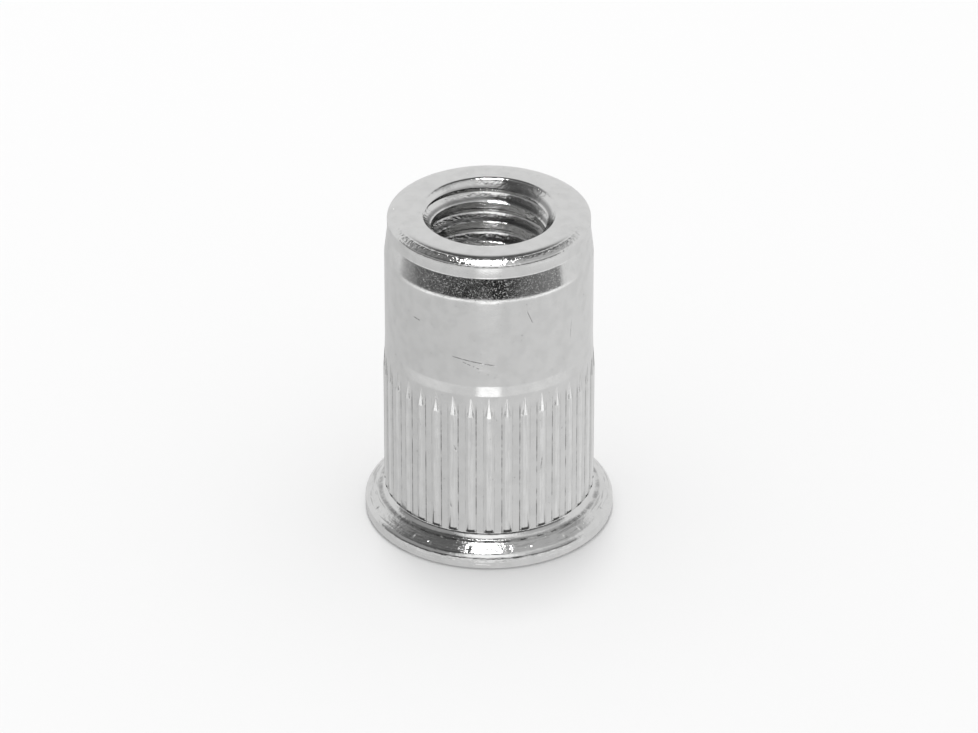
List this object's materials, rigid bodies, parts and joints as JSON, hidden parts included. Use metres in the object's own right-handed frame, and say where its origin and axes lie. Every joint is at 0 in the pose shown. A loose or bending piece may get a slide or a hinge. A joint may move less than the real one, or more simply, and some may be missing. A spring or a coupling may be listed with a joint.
{
  "type": "rivet nut",
  "caption": "Round metal rivet nut with a low flange, a knurled lower shank, a plain upper shank and a threaded hole through its tail end.",
  "frame": {"origin": "centre of the flange's flat outer face, which the nut stands on", "axes": "+Z along the axis of the nut, from the flange to the tail end; -Y is the side that the picture shows"},
  "size_m": [0.0108, 0.0108, 0.0148],
  "materials": {
    "plated_steel": "bright plated, satin, lightly scratched"
  },
  "bodies": {
    "root": {"rivet_nut": "plated_steel"}
  },
  "joints": []
}
